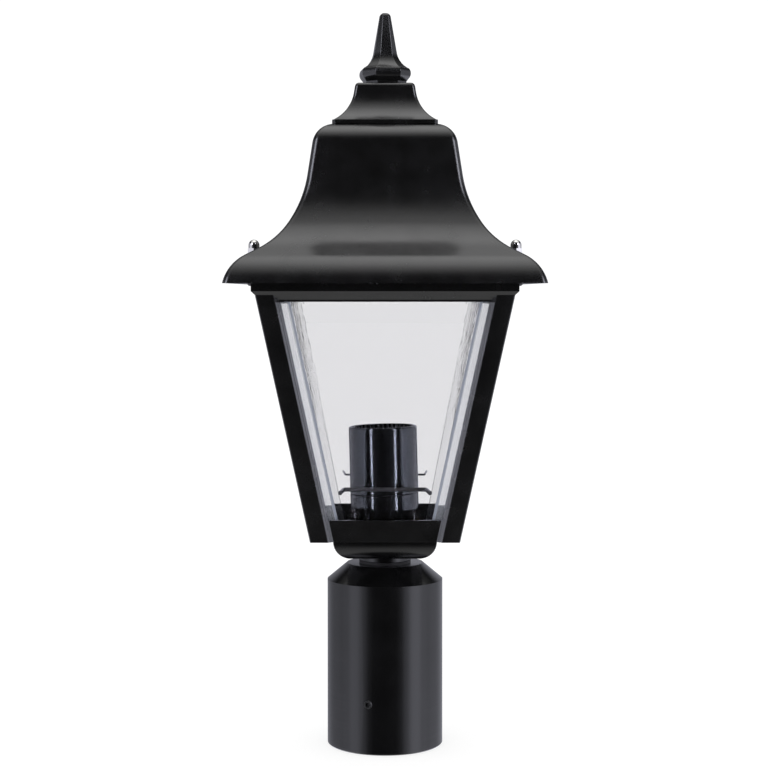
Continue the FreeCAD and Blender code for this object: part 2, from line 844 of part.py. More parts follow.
def thread_shell():
    """Rolled metal shell with the round lamp thread, one ring for each turn."""
    bottom = holder_joint_height + core_above_joint
    turns = int(thread_shell_height / thread_pitch)
    plain = (thread_shell_height - turns * thread_pitch) / 2
    samples = 4
    outer = [(thread_shell_radius, bottom)]
    for index in range(turns * samples + 1):
        z = bottom + plain + index * thread_pitch / samples
        wave = math.cos(2 * math.pi * index / samples)
        outer.append((thread_shell_radius - thread_depth / 2 * (1 - wave), z))
    outer.append((thread_shell_radius, bottom + thread_shell_height))
    inner = [(r - thread_shell_wall, z) for r, z in reversed(outer)]
    return lean(turned(outer + inner))


def centre_contact():
    """Sprung brass contact at the bottom of the lampholder."""
    bottom = holder_joint_height + core_above_joint
    return lean(turned([
        (0, bottom),
        (contact_radius, bottom),
        (contact_radius, bottom + contact_base_height),
        (contact_radius / 2, bottom + contact_height),
        (0, bottom + contact_height),
    ]))


def terminal_screws():
    """Two screws on the underside of the lampholder's core."""
    seat = holder_joint_height - core_below_joint
    solids = []
    for side in (-1, 1):
        solid = turned([
            (0, seat - terminal_head_height),
            (terminal_head_radius, seat - terminal_head_height),
            (terminal_head_radius, seat),
            (terminal_screw_radius, seat),
            (terminal_screw_radius, seat + terminal_depth - thread_clearance),
            (0, seat + terminal_depth - thread_clearance),
        ])
        solid.translate(vector(side * terminal_spacing / 2, 0, 0))
        solids.append(lean(solid))
    return Part.makeCompound(solids)


def pane_spring(wire_radius, height, bend_radius):
    """Staple of spring wire: its back bears on the lampholder and its feet press the front pane outwards."""
    back_y = -(holder_radius + wire_radius + spring_rest_gap)
    pane_face = cage_half(height - wire_radius) - pane_inner_depth
    foot_y = -(pane_face - spring_rest_gap)
    knee = vector(spring_half_span, back_y, height)
    foot = vector(spring_half_span + spring_foot_spread, foot_y, height)
    leg = (foot - knee).normalize()
    turn = math.acos(leg.x)
    trim = bend_radius * math.tan(turn / 2)
    bend_start = knee - vector(trim, 0, 0)
    bend_end = knee + leg * trim
    centre = bend_start - vector(0, bend_radius, 0)
    bisector = (knee - centre).normalize()
    bend_middle = centre + bisector * bend_radius
    edges = [
        Part.LineSegment(foot, bend_end).toShape(),
        Part.Arc(bend_end, bend_middle, bend_start).toShape(),
        Part.LineSegment(bend_start, vector(0, back_y, height)).toShape(),
    ]
    path = Part.Wire(edges)
    section = Part.Wire(Part.makeCircle(wire_radius, foot, leg))
    half = path.makePipeShell([section], True, False)
    mirrored = half.mirror(ORIGIN, vector(1, 0, 0))
    return half.fuse(mirrored).removeSplitter()


def rear_pane_spring():
    solid = pane_spring(rear_spring_radius, rear_spring_height, rear_spring_bend_radius)
    solid.rotate(ORIGIN, Z_AXIS, 180)
    return solid


def turned_half(solid):
    """The same piece on the opposite side of the lantern."""
    other = solid.copy()
    other.rotate(ORIGIN, Z_AXIS, 180)
    return other


pieces = {
    "post_sleeve": post_sleeve(),
    "sleeve_grub_screws": sleeve_grub_screws(),
    "neck_seal": neck_seal(),
    "neck_collar": neck_collar(),
    "under_dish": under_dish(),
    "lantern_cage": lantern_cage(),
    "pane_front": front_pane(),
    "pane_back": turned_half(front_pane()),
    "pane_left": side_pane(),
    "pane_right": turned_half(side_pane()),
    "pane_spring_front": pane_spring(front_spring_radius, front_spring_height, front_spring_bend_radius),
    "pane_spring_rear": rear_pane_spring(),
    "roof": roof(),
    "crown_cap": crown_cap(),
    "finial": finial(),
    "crown_stud": crown_stud(),
    "crown_washer": crown_washer(),
    "crown_nut": crown_nut(),
    "roof_screws": roof_screws(),
    "roof_screw_washers": roof_screw_washers(),
    "dome_nuts": dome_nuts(),
    "stem": stem(),
    "stem_washers": stem_washers(),
    "stem_nuts": stem_nuts(),
    "earth_screw": earth_screw(),
    "earth_washer": earth_washer(),
    "lampholder_base": lampholder_base(),
    "lampholder_core": lampholder_core(),
    "lampholder_skirt": lampholder_skirt(),
    "lampholder_thread_shell": thread_shell(),
    "lampholder_centre_contact": centre_contact(),
    "lampholder_terminal_screws": terminal_screws(),
}

os.makedirs("parts", exist_ok=True)
for name, shape in pieces.items():
    print(name, len(shape.Solids), shape.isValid(), round(shape.Volume, 1), shape.BoundBox)
    shape.exportStep(os.path.join("parts", name + ".step"))
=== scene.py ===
import bpy
import bmesh
import math
from mathutils import Matrix


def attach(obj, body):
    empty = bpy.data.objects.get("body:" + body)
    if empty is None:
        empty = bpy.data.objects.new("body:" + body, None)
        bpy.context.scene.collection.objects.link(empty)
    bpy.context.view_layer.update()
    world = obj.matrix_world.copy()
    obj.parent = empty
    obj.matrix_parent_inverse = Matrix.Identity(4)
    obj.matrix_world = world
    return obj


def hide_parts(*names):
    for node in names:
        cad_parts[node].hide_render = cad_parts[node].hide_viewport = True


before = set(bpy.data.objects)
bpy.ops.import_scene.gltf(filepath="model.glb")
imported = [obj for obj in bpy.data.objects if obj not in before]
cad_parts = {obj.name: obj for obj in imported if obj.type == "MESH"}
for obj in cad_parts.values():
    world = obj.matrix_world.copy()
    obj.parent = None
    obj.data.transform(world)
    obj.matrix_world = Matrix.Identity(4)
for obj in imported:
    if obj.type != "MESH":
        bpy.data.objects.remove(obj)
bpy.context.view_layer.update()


# Post sleeve: a die-cast aluminium cup with a coned shoulder that drops over the lamp post.
# Its skin is turned, which still shows as fine rings under the gloss black powder coat.

def arithmetic(tree, operation, *values, clamp=False):
    """One arithmetic node of a tree; each value is a socket or a number."""
    node = tree.nodes.new("ShaderNodeMath")
    node.operation = operation
    node.use_clamp = clamp
    for place, value in enumerate(values):
        if isinstance(value, (int, float)):
            node.inputs[place].default_value = value
        else:
            tree.links.new(value, node.inputs[place])
    return node.outputs["Value"]


least_patch = 0.3
most_patch = 0.7


def new_finish(name):
    """A new material, its tree and shader, and the place on the piece that its patterns follow."""
    material = bpy.data.materials.new(name)
    material.use_nodes = True
    tree = material.node_tree
    return material, tree, tree.nodes["Principled BSDF"], tree.nodes.new("ShaderNodeTexCoord").outputs["Object"]


def noise(tree, place, scale, detail=2.0):
    """Uneven patches, the finer the larger the scale, nearly all between least_patch and most_patch."""
    node = tree.nodes.new("ShaderNodeTexNoise")
    node.inputs["Scale"].default_value = scale
    node.inputs["Detail"].default_value = detail
    tree.links.new(place, node.inputs["Vector"])
    return node.outputs["Fac"]


def stretched(tree, place, factors):
    """A place multiplied along each axis, which draws patches out into rings or streaks."""
    node = tree.nodes.new("ShaderNodeVectorMath")
    node.operation = "MULTIPLY"
    node.inputs[1].default_value = factors
    tree.links.new(place, node.inputs[0])
    return node.outputs["Vector"]


def relief(tree, heights, strength, depth):
    """The surface's normal where it rises and falls with the heights."""
    node = tree.nodes.new("ShaderNodeBump")
    node.inputs["Strength"].default_value = strength
    node.inputs["Distance"].default_value = depth
    tree.links.new(heights, node.inputs["Height"])
    return node.outputs["Normal"]


def gloss_over(tree, patches, lowest, highest):
    """A roughness that runs from lowest to highest over the patches."""
    node = tree.nodes.new("ShaderNodeMapRange")
    node.inputs["From Min"].default_value = least_patch
    node.inputs["From Max"].default_value = most_patch
    node.inputs["To Min"].default_value = lowest
    node.inputs["To Max"].default_value = highest
    tree.links.new(patches, node.inputs["Value"])
    return node.outputs["Result"]


def tone_over(tree, patches, darkest_to, darkest, lightest):
    """A colour that runs from darkest to lightest over the patches."""
    node = tree.nodes.new("ShaderNodeValToRGB")
    node.color_ramp.elements[0].position = darkest_to
    node.color_ramp.elements[0].color = (*darkest, 1)
    node.color_ramp.elements[1].position = most_patch
    node.color_ramp.elements[1].color = (*lightest, 1)
    tree.links.new(patches, node.inputs["Fac"])
    return node.outputs["Color"]


def black_finish(name, blackness, roughness, peel, turned=0.0):
    """Black finish with a fine orange peel, an uneven gloss and, where turned, faint lathe rings."""
    material, tree, shader, place = new_finish(name)
    casting_skin = noise(tree, place, scale=70, detail=3.0)
    peel_skin = noise(tree, place, scale=620)
    lathe_rings = noise(tree, stretched(tree, place, (6, 6, 1100)), scale=1.0)
    skin = arithmetic(tree, "MULTIPLY_ADD", casting_skin, 3.0, peel_skin)
    skin = arithmetic(tree, "MULTIPLY_ADD", lathe_rings, turned, skin)
    gloss = gloss_over(tree, casting_skin, roughness * 0.85, roughness * 1.2)
    gloss = arithmetic(tree, "MULTIPLY_ADD", lathe_rings, turned * 0.010, gloss)
    tone = tone_over(tree, casting_skin, 0.35, (blackness, blackness, blackness * 1.1),
                     (blackness * 1.4, blackness * 1.4, blackness * 1.6))
    tree.links.new(relief(tree, skin, strength=peel, depth=0.00012), shader.inputs["Normal"])
    tree.links.new(gloss, shader.inputs["Roughness"])
    tree.links.new(tone, shader.inputs["Base Color"])
    shader.inputs["IOR"].default_value = 1.55
    return material


def eased_copy(node, radius, angle=24.0, segments=2):
    """A copy of a CAD node, welded and with its sharp edges rounded as paint and casting leave them."""
    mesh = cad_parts[node].data.copy()
    mesh.name = node + "_eased"
    shape = bmesh.new()
    shape.from_mesh(mesh)
    bmesh.ops.remove_doubles(shape, verts=shape.verts, dist=2e-6)
    bmesh.ops.dissolve_limit(shape, angle_limit=math.radians(0.4), verts=shape.verts, edges=shape.edges)
    shape.to_mesh(mesh)
    shape.free()
    if "custom_normal" in mesh.attributes:
        mesh.attributes.remove(mesh.attributes["custom_normal"])
    mesh.materials.clear()
    mesh.shade_smooth()
    mesh.set_sharp_from_angle(angle=math.radians(angle))
    piece = bpy.data.objects.new(node + "_eased", mesh)
    bpy.context.collection.objects.link(piece)
    rounding = piece.modifiers.new("edge_rounding", "BEVEL")
    rounding.width = radius
    rounding.segments = segments
    rounding.limit_method = "ANGLE"
    rounding.angle_limit = math.radians(angle)
    rounding.harden_normals = True
    rounding.use_clamp_overlap = True
    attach(piece, "root")
    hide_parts(node)
    return piece


def finish_in(piece, material):
    """Puts one material over a whole piece, scene-made or carried over from the CAD."""
    piece.data.materials.clear()
    piece.data.materials.append(material)


turned_black = black_finish("turned_black", blackness=0.003, roughness=0.12, peel=0.10, turned=6.0)
finish_in(eased_copy("post_sleeve", radius=0.0004), turned_black)


# Set screws: three steel socket screws, blackened against rust.
# They are turned into the sleeve from outside until their points grip the post.

blackened_steel = black_finish("blackened_steel", blackness=0.003, roughness=0.50, peel=0.02)
finish_in(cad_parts["sleeve_grub_screws"], blackened_steel)


# Neck: a thin rubber seal lies on the sleeve, and a turned aluminium spacer stands on it under the dish.
# The stem runs through both and clamps them; the spacer has the sleeve's own powder coat.

rubber = black_finish("rubber", blackness=0.010, roughness=0.55, peel=0.15)
finish_in(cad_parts["neck_seal"], rubber)
finish_in(eased_copy("neck_collar", radius=0.0003), turned_black)


# Under-dish and cage: the square dish is clamped under the cage, which is one casting with four corner posts.
# Both are powder coated aluminium, so they carry orange peel; the posts' stepped lips get a lighter grey, a painted
# highlight for the side light their edges catch.

casting_black = black_finish("casting_black", blackness=0.003, roughness=0.24, peel=0.14)
finish_in(eased_copy("under_dish", radius=0.0006), casting_black)

cage_corners = [corner.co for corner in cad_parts["lantern_cage"].data.vertices]
cage_top = max(corner.z for corner in cage_corners)
cage_top_half_width = max(corner.y for corner in cage_corners)
cage_ring_height = 0.0137

# The panes lean as the posts do, so the outer face of one gives the cage's flare.
pane_corners = [corner.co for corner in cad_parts["pane_back"].data.vertices]
pane_foot = min(pane_corners, key=lambda corner: corner.z - corner.y)
pane_head = max(pane_corners, key=lambda corner: corner.y)
cage_flare = (pane_head.y - pane_foot.y) / (pane_head.z - pane_foot.z)

lip_from = 0.0101
lip_to = 0.0130
lip_sharpness = 5000


def more_than(tree, first, second, sharpness):
    """1 where the first value is more than the second, 0 where it is less; the edge is 1 / sharpness wide."""
    return arithmetic(tree, "MULTIPLY", arithmetic(tree, "SUBTRACT", first, second), sharpness, clamp=True)


def from_post_corner(tree, place):
    """How far a place on the cage or a pane is from the post's outer corner, and its three axes."""
    axes = tree.nodes.new("ShaderNodeSeparateXYZ")
    tree.links.new(place, axes.inputs["Vector"])
    above_top = arithmetic(tree, "SUBTRACT", axes.outputs["Z"], cage_top)
    half_width = arithmetic(tree, "MULTIPLY_ADD", above_top, cage_flare, cage_top_half_width)
    along_side = arithmetic(tree, "MINIMUM", arithmetic(tree, "ABSOLUTE", axes.outputs["X"]),
                            arithmetic(tree, "ABSOLUTE", axes.outputs["Y"]))
    return arithmetic(tree, "SUBTRACT", half_width, along_side), axes


cage_black = black_finish("cage_black", blackness=0.003, roughness=0.24, peel=0.14)
tree = cage_black.node_tree
from_corner, axes = from_post_corner(tree, tree.nodes.new("ShaderNodeTexCoord").outputs["Object"])
lip = arithmetic(tree, "MULTIPLY", more_than(tree, from_corner, lip_from, lip_sharpness),
                 more_than(tree, cage_top - cage_ring_height, axes.outputs["Z"], lip_sharpness))
lip = arithmetic(tree, "SUBTRACT", lip, more_than(tree, from_corner, lip_to, lip_sharpness), clamp=True)
paint = tree.nodes["Principled BSDF"].inputs["Base Color"]
# The lips' lighter grey is a painted highlight standing in for the side light that their edges catch.
lip_painted_highlight = tree.nodes.new("ShaderNodeMix")
lip_painted_highlight.data_type = "RGBA"
lip_painted_highlight.inputs["B"].default_value = (0.10, 0.102, 0.118, 1)
tree.links.new(lip, lip_painted_highlight.inputs["Factor"])
tree.links.new(paint.links[0].from_socket, lip_painted_highlight.inputs["A"])
tree.links.new(lip_painted_highlight.outputs["Result"], paint)
finish_in(eased_copy("lantern_cage", radius=0.00035), cage_black)


# Stem, its nuts and washers, and the earth screw: zinc-plated steel and brass, hidden but for the inside.
# They are bought parts and stay as bright as the plating leaves them.

def metal_finish(name, colour, roughness, streak, cloud):
    """Bare or plated metal with drawn streaks and a cloudy gloss."""
    material, tree, shader, place = new_finish(name)
    clouds = noise(tree, place, scale=cloud, detail=4.0)
    streaks = noise(tree, stretched(tree, place, (300, 300, 4000)), scale=1.0)
    tone = tone_over(tree, clouds, 0.3, [0.8 * share for share in colour], colour)
    tree.links.new(tone, shader.inputs["Base Color"])
    tree.links.new(gloss_over(tree, clouds, roughness * 0.7, roughness * 1.4), shader.inputs["Roughness"])
    tree.links.new(relief(tree, streaks, strength=streak, depth=0.00005), shader.inputs["Normal"])
    shader.inputs["Metallic"].default_value = 1.0
    return material


zinc = metal_finish("zinc", colour=(0.62, 0.62, 0.60), roughness=0.30, streak=0.2, cloud=250)
brass = metal_finish("brass", colour=(0.74, 0.53, 0.25), roughness=0.25, streak=0.2, cloud=250)
for node in ("stem", "stem_washers", "stem_nuts"):
    finish_in(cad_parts[node], zinc)
for node in ("earth_screw", "earth_washer"):
    finish_in(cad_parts[node], brass)


# Lampholder base, core and contacts: a gloss black thermoset cup round an unglazed ceramic core.
# The brass centre contact is riveted to the core and the two terminal screws are below it.

holder_black = black_finish("holder_black", blackness=0.006, roughness=0.07, peel=0.015)
bluish_gloss = (0.84, 0.90, 1.0, 1)
holder_black.node_tree.nodes["Principled BSDF"].inputs["Specular Tint"].default_value = bluish_gloss
finish_in(eased_copy("lampholder_base", radius=0.0003), holder_black)
ceramic = black_finish("ceramic", blackness=0.55, roughness=0.5, peel=0.05)
finish_in(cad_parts["lampholder_core"], ceramic)
for node in ("lampholder_centre_contact", "lampholder_terminal_screws"):
    finish_in(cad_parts[node], brass)


# Lampholder shell: the lamp thread is rolled from thin plated sheet, as one helix from end to end.
# The shell leans with the holder, which stands a little out of plumb on its stem.

def shape_rule(name, sizes):
    """A node tree for one shape, with its sizes as named inputs."""
    tree = bpy.data.node_groups.new(name, "GeometryNodeTree")
    tree.interface.new_socket("Geometry", in_out="OUTPUT", socket_type="NodeSocketGeometry")
    for label, value in sizes.items():
        socket = tree.interface.new_socket(label, in_out="INPUT", socket_type="NodeSocketFloat")
        socket.default_value = value
    given = tree.nodes.new("NodeGroupInput")
    return tree, {label: given.outputs[label] for label in sizes}


def made_by_rule(name, tree, shape, material):
    """Closes the tree with its last two steps, runs it once and keeps the result as a plain mesh."""
    realised = tree.nodes.new("GeometryNodeRealizeInstances")
    painted = tree.nodes.new("GeometryNodeSetMaterial")
    painted.inputs["Material"].default_value = material
    outcome = tree.nodes.new("NodeGroupOutput")
    tree.links.new(shape, realised.inputs["Geometry"])
    tree.links.new(realised.outputs["Geometry"], painted.inputs["Geometry"])
    tree.links.new(painted.outputs["Geometry"], outcome.inputs["Geometry"])
    piece = bpy.data.objects.new(name, bpy.data.meshes.new(name + "_start"))
    bpy.context.collection.objects.link(piece)
    rule = piece.modifiers.new("shape_rule", "NODES")
    rule.node_group = tree
    for socket in tree.interface.items_tree:
        if socket.in_out == "INPUT":
            rule[socket.identifier] = socket.default_value
    bpy.context.view_layer.update()
    finished = bpy.data.meshes.new_from_object(piece.evaluated_get(bpy.context.evaluated_depsgraph_get()))
    piece.modifiers.remove(rule)
    piece.data = finished
    finished.name = name
    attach(piece, "root")
    return piece


holder_bottom = 0.1298
holder_lean = math.radians(-1.4)
holder_tilt = (Matrix.Translation((0, 0, holder_bottom)) @ Matrix.Rotation(holder_lean, 4, "Y")
               @ Matrix.Translation((0, 0, -holder_bottom)))
full_turn = 2 * math.pi
cells_around = 96
cells_along = 133
tree, size = shape_rule("lamp_thread", {"Radius": 0.0139, "Wall": 0.0005, "Depth": 0.0009, "Pitch": 0.0036,
                                        "Bottom": 0.1505, "Height": 0.022})

# The sheet runs up the outside of the shell and, from half way along, down its inside.
sheet = tree.nodes.new("GeometryNodeMeshGrid")
sheet.inputs["Size X"].default_value = 1.0
sheet.inputs["Size Y"].default_value = 1.0
sheet.inputs["Vertices X"].default_value = cells_around + 1
sheet.inputs["Vertices Y"].default_value = cells_along + 1
cell = tree.nodes.new("GeometryNodeInputPosition")
cell_axes = tree.nodes.new("ShaderNodeSeparateXYZ")
tree.links.new(cell.outputs["Position"], cell_axes.inputs["Vector"])
around = arithmetic(tree, "MULTIPLY", arithmetic(tree, "ADD", cell_axes.outputs["X"], 0.5), full_turn)
along = arithmetic(tree, "ADD", cell_axes.outputs["Y"], 0.5)
from_top_edge = arithmetic(tree, "ABSOLUTE", arithmetic(tree, "SUBTRACT", arithmetic(
    tree, "MULTIPLY", along, 2.0), 1.0))
z_in_shell = arithmetic(tree, "MULTIPLY", arithmetic(tree, "SUBTRACT", 1.0, from_top_edge), size["Height"])
pitches_up = arithmetic(tree, "DIVIDE", z_in_shell, size["Pitch"])
thread_angle = arithmetic(tree, "SUBTRACT", arithmetic(tree, "MULTIPLY", pitches_up, full_turn), around)
from_ends = arithmetic(tree, "MINIMUM", z_in_shell, arithmetic(tree, "SUBTRACT", size["Height"], z_in_shell))
run_in = arithmetic(tree, "MINIMUM", arithmetic(tree, "DIVIDE", from_ends, size["Pitch"]), 1.0)
half_depth = arithmetic(tree, "MULTIPLY", size["Depth"], 0.5)
hollow = arithmetic(tree, "SUBTRACT", 1.0, arithmetic(tree, "COSINE", thread_angle))
hollow = arithmetic(tree, "MULTIPLY", arithmetic(tree, "MULTIPLY", hollow, half_depth), run_in)
inside = arithmetic(tree, "GREATER_THAN", along, 0.5)
reach = arithmetic(tree, "SUBTRACT", arithmetic(tree, "SUBTRACT", size["Radius"], hollow),
                   arithmetic(tree, "MULTIPLY", inside, size["Wall"]))
point = tree.nodes.new("ShaderNodeCombineXYZ")
tree.links.new(arithmetic(tree, "MULTIPLY", reach, arithmetic(tree, "COSINE", around)), point.inputs["X"])
tree.links.new(arithmetic(tree, "MULTIPLY", reach, arithmetic(tree, "SINE", around)), point.inputs["Y"])
tree.links.new(arithmetic(tree, "ADD", z_in_shell, size["Bottom"]), point.inputs["Z"])
rolled = tree.nodes.new("GeometryNodeSetPosition")
tree.links.new(sheet.outputs["Mesh"], rolled.inputs["Geometry"])
tree.links.new(point.outputs["Vector"], rolled.inputs["Position"])
seamed = tree.nodes.new("GeometryNodeMergeByDistance")
seamed.inputs["Distance"].default_value = 0.00001
tree.links.new(rolled.outputs["Geometry"], seamed.inputs["Geometry"])
thread_shell = made_by_rule("lampholder_thread_helix", tree, seamed.outputs["Geometry"], zinc)
thread_shell.data.transform(holder_tilt)
thread_shell.data.shade_smooth()
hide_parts("lampholder_thread_shell")


# Lampholder skirt: one gloss black thermoset moulding, open at the top.
# A ring of small ribs is moulded inside its mouth, where the assembly key grips.

finish_in(eased_copy("lampholder_skirt", radius=0.0003), holder_black)
tree, size = shape_rule("mouth_ribs", {"Count": 40.0, "Radius": 0.01765, "Width": 0.0011, "Depth": 0.0011,
                                       "Height": 0.0050, "Middle": 0.1810})
row = tree.nodes.new("GeometryNodeMeshLine")
tree.links.new(arithmetic(tree, "ROUND", size["Count"]), row.inputs["Count"])
row.inputs["Offset"].default_value = (0, 0, 0)
number = tree.nodes.new("GeometryNodeInputIndex")
rib_angle = arithmetic(tree, "DIVIDE", number.outputs["Index"], size["Count"])
rib_angle = arithmetic(tree, "MULTIPLY", rib_angle, full_turn)
spot = tree.nodes.new("ShaderNodeCombineXYZ")
tree.links.new(arithmetic(tree, "MULTIPLY", size["Radius"], arithmetic(tree, "COSINE", rib_angle)), spot.inputs["X"])
tree.links.new(arithmetic(tree, "MULTIPLY", size["Radius"], arithmetic(tree, "SINE", rib_angle)), spot.inputs["Y"])
tree.links.new(size["Middle"], spot.inputs["Z"])
spaced = tree.nodes.new("GeometryNodeSetPosition")
tree.links.new(row.outputs["Mesh"], spaced.inputs["Geometry"])
tree.links.new(spot.outputs["Vector"], spaced.inputs["Position"])
rib = tree.nodes.new("GeometryNodeMeshCube")
rib_size = tree.nodes.new("ShaderNodeCombineXYZ")
tree.links.new(size["Depth"], rib_size.inputs["X"])
tree.links.new(size["Width"], rib_size.inputs["Y"])
tree.links.new(size["Height"], rib_size.inputs["Z"])
tree.links.new(rib_size.outputs["Vector"], rib.inputs["Size"])
facing = tree.nodes.new("ShaderNodeCombineXYZ")
tree.links.new(rib_angle, facing.inputs["Z"])
set_round = tree.nodes.new("GeometryNodeInstanceOnPoints")
tree.links.new(spaced.outputs["Geometry"], set_round.inputs["Points"])
tree.links.new(rib.outputs["Mesh"], set_round.inputs["Instance"])
tree.links.new(facing.outputs["Vector"], set_round.inputs["Rotation"])
# The ribs are a lighter black than the skirt: a painted highlight for the light their edges catch.
ribs_painted_highlight = black_finish("ribs_painted_highlight", blackness=0.05, roughness=0.3, peel=0.02)
mouth_ribs = made_by_rule("lampholder_mouth_ribs", tree, set_round.outputs["Instances"], ribs_painted_highlight)
mouth_ribs.data.transform(holder_tilt)


# Panes: four loose sheets of clear glass, ground to a bevel round the inner face.
# The bevels are hazy from grinding, most of all at the arris where they end.
# Polishing left fine streaks beside the bevels' upper ends, on all panes but the back one; their relief is real, and
# their darker tint is painted shade for the dark posts seen through them.

bevel_end = 0.0179
streaks_end = 0.0242
streaks_lowest = 0.175
streak_wander = 0.0045
streaks_per_metre = 1100
wave_height = 0.00004
streak_height = 0.00015
clear_glass = (0.895, 0.893, 0.905, 1)
streaks_painted_shade = (0.74, 0.73, 0.72, 1)
ground_milk = (0.85, 0.89, 0.99, 1)
arris_milk = (0.28, 0.30, 0.36, 1)


def pane_glass(name, haze_from, haze, milk, clouded, streaked):
    """Clear glass with a faint wave and a milky bevel, hazy at its arris, and where it is streaked, raised streaks
    with a darker tint of painted shade.
    """
    material, tree, shader, place = new_finish(name)
    shader.inputs["Transmission Weight"].default_value = 1.0
    shader.inputs["Roughness"].default_value = 0.0
    shader.inputs["IOR"].default_value = 1.5
    from_corner, axes = from_post_corner(tree, place)
    wander = arithmetic(tree, "SUBTRACT", noise(tree, place, scale=70, detail=4.0), 0.5)
    wandering = arithmetic(tree, "MULTIPLY_ADD", wander, streak_wander, from_corner)
    streak_place = tree.nodes.new("ShaderNodeCombineXYZ")
    tree.links.new(arithmetic(tree, "MULTIPLY", wandering, streaks_per_metre), streak_place.inputs["X"])
    tree.links.new(arithmetic(tree, "MULTIPLY", axes.outputs["Z"], 14), streak_place.inputs["Y"])
    tree.links.new(arithmetic(tree, "MULTIPLY", arithmetic(tree, "SIGN", axes.outputs["X"]), 7),
                   streak_place.inputs["Z"])
    streaks = noise(tree, streak_place.outputs["Vector"], scale=1.0, detail=3.0)
    wave = arithmetic(tree, "MULTIPLY", noise(tree, place, scale=28, detail=1.0), wave_height)
    past_bevel = more_than(tree, from_corner, bevel_end, 4000)
    if streaked:
        beside_bevel = arithmetic(tree, "MULTIPLY", more_than(tree, streaks_end, wandering, 200), past_bevel)
        near_top = more_than(tree, axes.outputs["Z"], streaks_lowest, 15)
        in_streaks = arithmetic(tree, "MULTIPLY", beside_bevel, near_top)
        wave = arithmetic(tree, "MULTIPLY_ADD", arithmetic(tree, "MULTIPLY", streaks, in_streaks),
                          streak_height, wave)
        # The darker tint over the streaks is painted shade standing in for the dark posts seen bent through them.
        tint = tree.nodes.new("ShaderNodeMix")
        tint.data_type = "RGBA"
        tint.inputs["A"].default_value = clear_glass
        tint.inputs["B"].default_value = streaks_painted_shade
        tree.links.new(arithmetic(tree, "MULTIPLY", more_than(tree, streaks, 0.48, 5.0), in_streaks),
                       tint.inputs["Factor"])
        tree.links.new(tint.outputs["Result"], shader.inputs["Base Color"])
    else:
        shader.inputs["Base Color"].default_value = clear_glass
    tree.links.new(relief(tree, wave, strength=1.0, depth=1.0), shader.inputs["Normal"])
    at_arris = arithmetic(tree, "SUBTRACT", more_than(tree, from_corner, haze_from, 1500), past_bevel,
                          clamp=True)
    on_bevel = more_than(tree, bevel_end, from_corner, 4000)
    milky = arithmetic(tree, "MULTIPLY", arithmetic(tree, "MULTIPLY_ADD", streaks, clouded, milk), on_bevel)
    milky = arithmetic(tree, "MAXIMUM", milky, arithmetic(tree, "MULTIPLY", at_arris, haze))
    milk_tone = tree.nodes.new("ShaderNodeMix")
    milk_tone.data_type = "RGBA"
    milk_tone.inputs["A"].default_value = ground_milk
    milk_tone.inputs["B"].default_value = arris_milk
    tree.links.new(at_arris, milk_tone.inputs["Factor"])
    ground_face = tree.nodes.new("ShaderNodeBsdfDiffuse")
    tree.links.new(milk_tone.outputs["Result"], ground_face.inputs["Color"])
    whole_face = tree.nodes.new("ShaderNodeMixShader")
    tree.links.new(milky, whole_face.inputs["Fac"])
    tree.links.new(shader.outputs["BSDF"], whole_face.inputs[1])
    tree.links.new(ground_face.outputs["BSDF"], whole_face.inputs[2])
    tree.links.new(whole_face.outputs["Shader"], tree.nodes["Material Output"].inputs["Surface"])
    return material


polished_glass = pane_glass("polished_glass", haze_from=0.0162, haze=0.80, milk=0.15, clouded=0.0,
                            streaked=True)
ground_glass = pane_glass("ground_glass", haze_from=0.0172, haze=0.35, milk=0.03, clouded=0.12,
                          streaked=False)
for side in ("front", "left", "right"):
    finish_in(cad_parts["pane_" + side], polished_glass)
finish_in(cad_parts["pane_back"], ground_glass)


# Pane springs: bent spring wire, black coated against rust, between the lampholder and the panes.
# The thick one crosses in front of the holder, the thin one behind it; they keep the panes against the lips.

# The coat's black is lifted to a dark grey all over: painted sheen standing in for the light the glossy wire
# reflects.
wire_painted_sheen = black_finish("wire_painted_sheen", blackness=0.10, roughness=0.16, peel=0.0)
for node in ("pane_spring_front", "pane_spring_rear"):
    finish_in(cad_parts[node], wire_painted_sheen)


# Roof: a thin bell-shaped aluminium casting with mitred hips, powder coated like the cage.
# Its edges are rounded as cast, and it lifts off once its two dome nuts are undone.

finish_in(eased_copy("roof", radius=0.0012, segments=3), casting_black)


# Roof fixings: blackened steel screws come up through the cage's ears and the roof's rim on two sides.
# Above the rim each has a plated washer and a bright nickel-plated dome nut.

finish_in(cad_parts["roof_screws"], blackened_steel)
finish_in(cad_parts["roof_screw_washers"], zinc)
nickel = metal_finish("nickel", colour=(0.64, 0.63, 0.61), roughness=0.10, streak=0.05, cloud=400)
finish_in(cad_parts["dome_nuts"], nickel)


# Crown cap and finial: two aluminium castings with the roof's powder coat, the finial standing on the cap.
# One plated stud draws both down on the roof, with its nut and washer inside.

for node, radius in (("crown_cap", 0.0004), ("finial", 0.0009)):
    finish_in(eased_copy(node, radius), casting_black)
for node in ("crown_stud", "crown_washer", "crown_nut"):
    finish_in(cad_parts[node], zinc)


# Studio: a white surround and floor. Gloss sees them as a dark room with a soft overhead light, two tall
# side lights, a narrow light high up on each side and a pale tabletop. In what gloss shows through the panes,
# the side lights are twice as bright and have a narrow strip beside them.

world = bpy.data.worlds.new("studio")
bpy.context.scene.world = world
world.use_nodes = True
tree = world.node_tree
white_walls = tree.nodes["Background"]
white_walls.inputs["Color"].default_value = (1, 1, 1, 1)
white_walls.inputs["Strength"].default_value = 1.08


